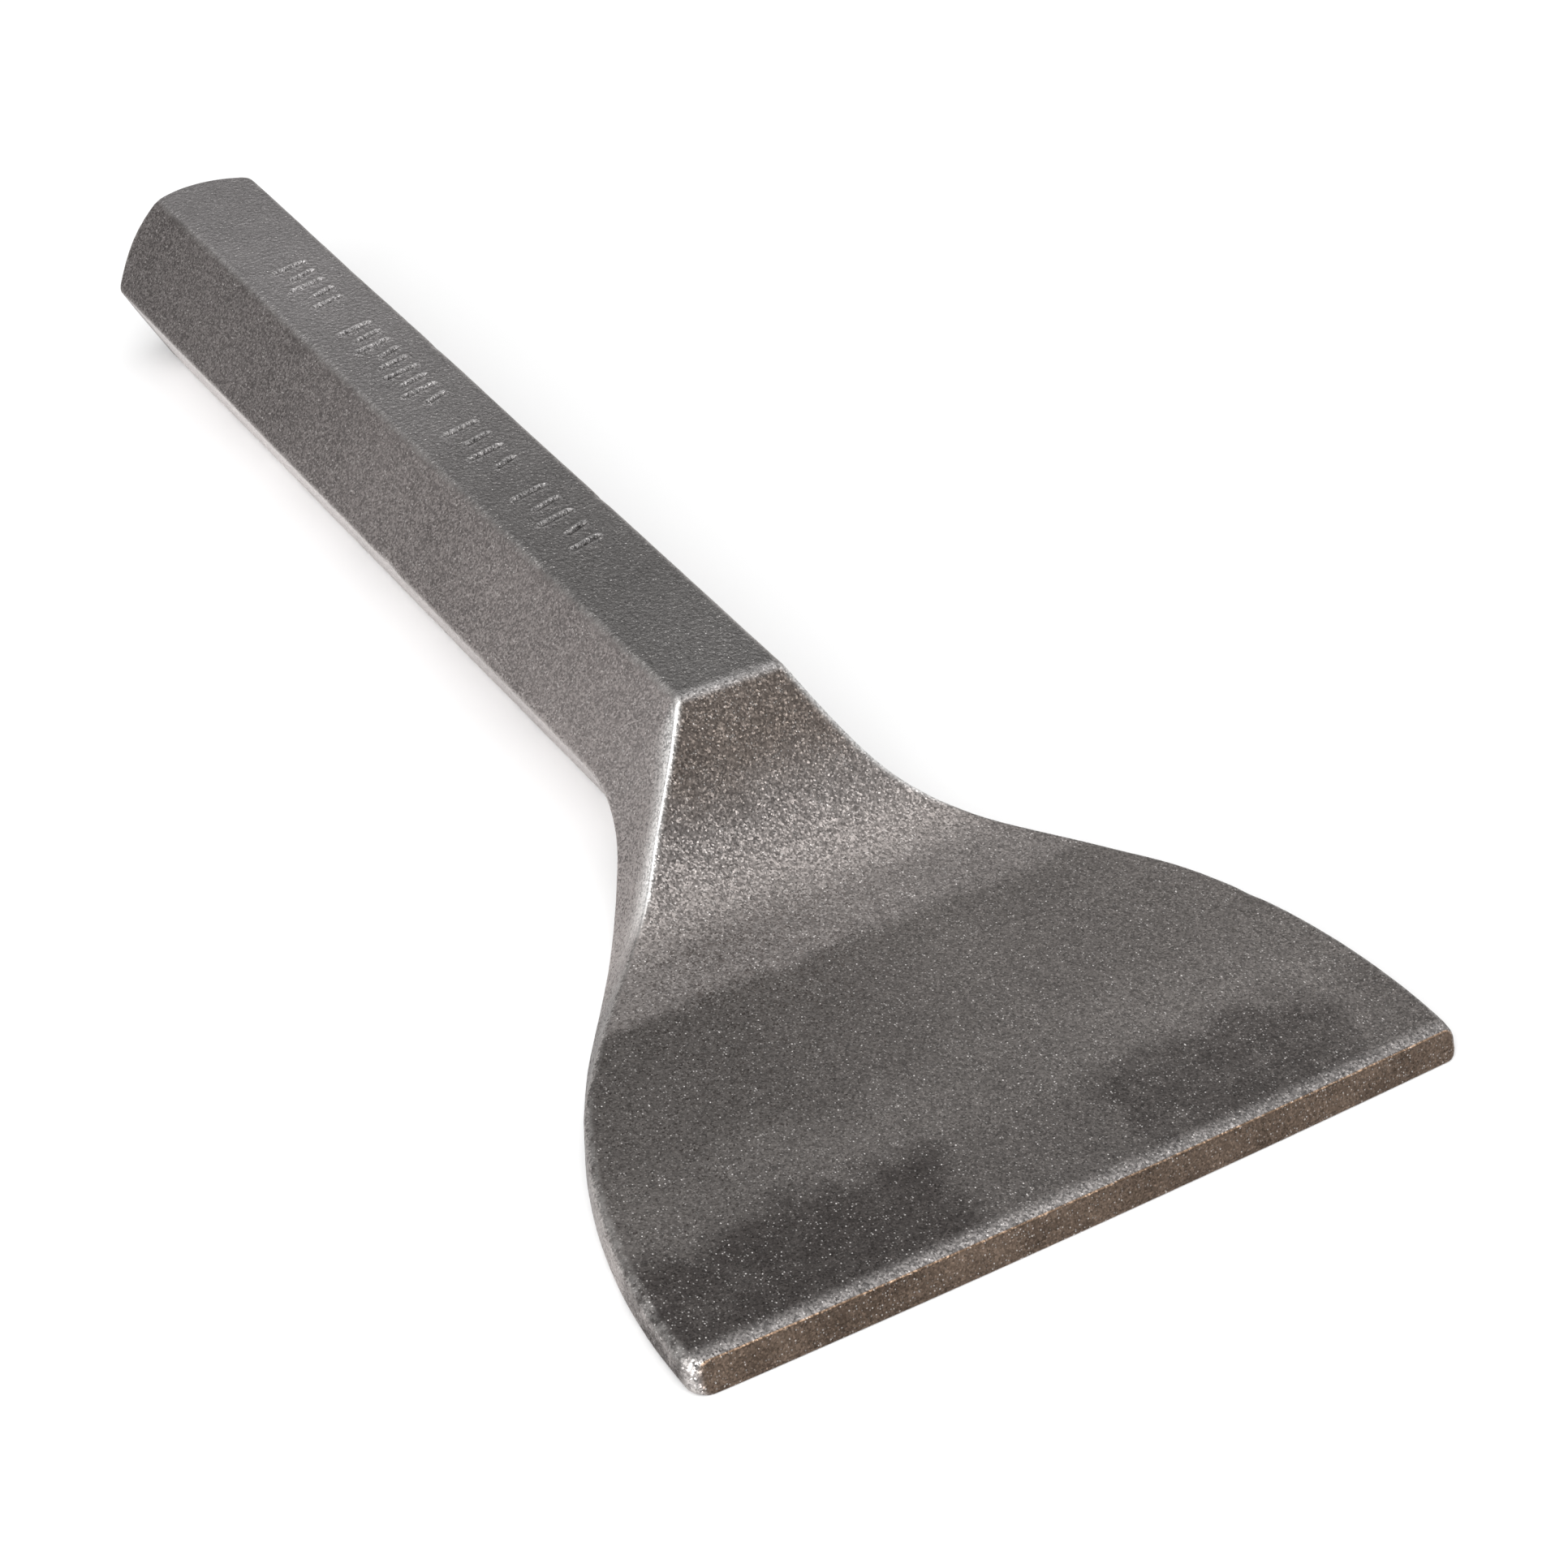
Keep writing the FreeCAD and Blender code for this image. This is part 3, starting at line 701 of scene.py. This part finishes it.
# Worn places: long edges and the line above the ground edge; painted highlights on the rims of the ramp
# and on the left corner.
bow = g.math("MULTIPLY", g.math("MULTIPLY", across, across), 1 / (2 * BOW_RADIUS))
edge_line = g.math("SUBTRACT", along, bow)
lip = g.math("MULTIPLY", g.step(edge_line, -95.6, -97.6), g.math("SUBTRACT", top, ground, clamp=True))
base = g.mix(g.math("MULTIPLY", lip, 0.8), base, PAINT["edge line"])
chipped = g.step(g.noise(place, 0.9, 3.0, 0.7), 0.3, 0.62)
worn = g.math("MAXIMUM", rim, g.math("MULTIPLY", belt, g.step(along, -42.0, -50.0, 0.6, 0.12)))
wear = g.math("MULTIPLY", g.math("MULTIPLY", worn, chipped), g.step(along, 10.0, -34.0, 0.3, 0.5))
base = g.mix(wear, base, PAINT["worn"])
# Painted highlight: the rims of the ramp painted near white, fading slowly down the walls.
painted_rim_highlight = g.math("MULTIPLY", g.step(along, -31.8, -33.6), g.step(along, -48.5, -44.0))
painted_rim_highlight = g.math("MULTIPLY", g.math("MULTIPLY", shoulder, painted_rim_highlight), g.step(grain, 0.3, 0.55, 0.7, 1.0))
base = g.mix(painted_rim_highlight, base, PAINT["painted rim highlight"])
ground_paint = g.mix(g.step(blotch, 0.3, 0.7), PAINT["ground dark"], PAINT["ground light"])
base = g.mix(ground, base, ground_paint)
arris = g.math("MULTIPLY", g.step(ground, 0.15, 0.5), g.step(ground, 0.98, 0.75))
arris = g.math("MULTIPLY", arris, top)
base = g.mix(g.math("MULTIPLY", arris, 0.7), base, PAINT["arris"])
# Painted highlight on the rounded left corner of the blade, broken up by the chipped noise.
corner = g.math("MULTIPLY", g.step(across, -43.1, -43.9), g.step(along, -95.5, -98.0))
corner = g.math("MULTIPLY", corner, g.step(chipped, 0.0, 1.0, 0.75, 1.0))
base = g.mix(corner, base, PAINT["corner"])

# Painted light on the strokes: a painted highlight along their raised lips and painted shade down their
# grooves.
stroke = g.attribute("stroke")
base = g.mix(g.math("MULTIPLY", stroke, 0.5, clamp=True), base, PAINT["stroke lip highlight"])
base = g.mix(g.math("MULTIPLY", stroke, -0.8, clamp=True), base, PAINT["stroke groove shade"])
value = g.math("ADD", g.step(cloud, 0.3, 0.7, 0.92, 1.08),
               g.math("MULTIPLY", g.math("SUBTRACT", facet_pick.outputs["Green"], 0.55), 0.75))
tone = g.node("ShaderNodeCombineColor", {"Red": value, "Green": value, "Blue": value}).outputs["Color"]
base = g.mix(1.0, base, tone, "MULTIPLY")
# Painted highlight: specks painted bright as glints, a little fainter on the blade.
painted_glint = g.math("MULTIPLY", speck, g.step(blade, 0.0, 1.0, 0.7, 0.62))
base = g.mix(painted_glint, base, PAINT["painted_glint"])
g.tree.links.new(base, shader.inputs["Base Color"])
shader.inputs["Metallic"].default_value = 1.0
shader.inputs["Specular Tint"].default_value = (0.82, 0.80, 0.79, 1)
gloss = g.math("ADD", g.step(blotch, 0.3, 0.7, 0.31, 0.38), g.math("MULTIPLY", speck, -0.1))
g.tree.links.new(gloss, shader.inputs["Roughness"])

# Relief: each tiny facet is tilted its own way, less so under the painted rim highlight; the top
# flat carries the ripple of rolled scale.
tilt = g.node("ShaderNodeVectorMath", {0: facets.outputs["Color"], 1: (0.5, 0.5, 0.5)},
              operation="SUBTRACT").outputs["Vector"]
tilt_size = g.math("SUBTRACT", 0.6, g.math("MULTIPLY", painted_rim_highlight, 0.42))
tilt = g.node("ShaderNodeVectorMath", {0: tilt, "Scale": tilt_size}, operation="SCALE").outputs["Vector"]
normal = g.node("ShaderNodeNewGeometry").outputs["Normal"]
tilted = g.node("ShaderNodeVectorMath", {0: normal, 1: tilt}, operation="ADD").outputs["Vector"]
tilted = g.node("ShaderNodeVectorMath", {0: tilted}, operation="NORMALIZE").outputs["Vector"]
rolled = g.noise(place, 1.9, 3.0, 0.6)
on_top_flat = g.math("MULTIPLY", top, g.step(along, -33.0, -31.0))
ripple = g.math("MULTIPLY", rolled, g.math("ADD", g.math("MULTIPLY", on_top_flat, 7.0), 0.25))
relief = g.math("ADD", g.math("MULTIPLY", grain, 0.7), ripple)
bump = g.node("ShaderNodeBump", {"Height": relief, "Distance": BUMP_METRES, "Strength": 0.8,
                                 "Normal": tilted}).outputs["Normal"]
g.tree.links.new(bump, shader.inputs["Normal"])
mesh.materials.append(steel)

# ---------------------------------------------------------------- stage
floor_mesh = bpy.data.meshes.new("floor")
floor_corners = [(-3, -3, 0), (3, -3, 0), (3, 3, 0), (-3, 3, 0)]
floor_mesh.from_pydata(floor_corners, [], [(0, 1, 2, 3)])
floor = bpy.data.objects.new("floor", floor_mesh)
bpy.context.scene.collection.objects.link(floor)
floor_paint = bpy.data.materials.new("floor_paint")
floor_paint.use_nodes = True
floor_inputs = floor_paint.node_tree.nodes["Principled BSDF"].inputs
floor_inputs["Base Color"].default_value = (0.9, 0.9, 0.9, 1)
floor_inputs["Roughness"].default_value = 0.9
floor_mesh.materials.append(floor_paint)
floor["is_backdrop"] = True


def area_light(name, position, target, size, power):
    """Add a white rectangular light at position, turned towards target."""
    light = bpy.data.lights.new(name, "AREA")
    light.shape = "RECTANGLE"
    light.size, light.size_y = size
    light.energy = power
    lamp = bpy.data.objects.new(name, light)
    aim = (Vector(target) - Vector(position)).to_track_quat("-Z", "Y")
    lamp.matrix_world = Matrix.Translation(position) @ aim.to_matrix().to_4x4()
    bpy.context.scene.collection.objects.link(lamp)


area_light("overhead", (0.0, -0.1, 1.2), (0, 0, 0), (1.0, 1.0), 4.0)
area_light("key", (-0.58, -0.48, 0.62), (0, -0.04, 0), (0.7, 0.7), 5.5)
area_light("low_fill", (-0.95, -0.55, 0.24), (0, 0, 0.0), (1.1, 0.4), 6.5)
world = bpy.data.worlds.new("studio")
world.use_nodes = True
sky = Graph(world.node_tree)
direction = sky.node("ShaderNodeTexCoord").outputs["Generated"]
rise = sky.node("ShaderNodeSeparateXYZ", {"Vector": direction}).outputs["Z"]
glow = sky.step(rise, 0.1, 0.8, 0.45, 0.8)
sky_color = sky.node("ShaderNodeCombineColor", {"Red": glow, "Green": glow, "Blue": glow}).outputs[0]
sky.tree.links.new(sky_color, world.node_tree.nodes["Background"].inputs["Color"])
bpy.context.scene.world = world
bpy.context.scene.view_settings.view_transform = "Standard"

# ---------------------------------------------------------------- camera
AZ, EL, ROLL = math.radians(33.27), math.radians(36.757), math.radians(1.309)
FOCAL_PIXELS, FRAME_PIXELS, SENSOR_MM = 4312.9, 1932, 36.0
POSITION = Vector((-0.156169, -0.281164, 0.22825))
forward = Vector((math.sin(AZ) * math.cos(EL), math.cos(AZ) * math.cos(EL), -math.sin(EL)))
right = forward.cross(Vector((0, 0, 1))).normalized()
up = right.cross(forward)
rolled_right = right * math.cos(ROLL) + up * math.sin(ROLL)
rolled_up = up * math.cos(ROLL) - right * math.sin(ROLL)
lens = bpy.data.cameras.new("camera")
lens.sensor_width = SENSOR_MM
lens.lens = FOCAL_PIXELS * SENSOR_MM / FRAME_PIXELS
lens.clip_start, lens.clip_end = 0.01, 20
camera = bpy.data.objects.new("camera", lens)
turn = Matrix((rolled_right, rolled_up, -forward)).transposed()
camera.matrix_world = Matrix.Translation(POSITION) @ turn.to_4x4()
bpy.context.scene.collection.objects.link(camera)
bpy.context.scene.camera = camera

size = {"cad": cad_box, "visual": [list(corner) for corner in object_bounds()]}
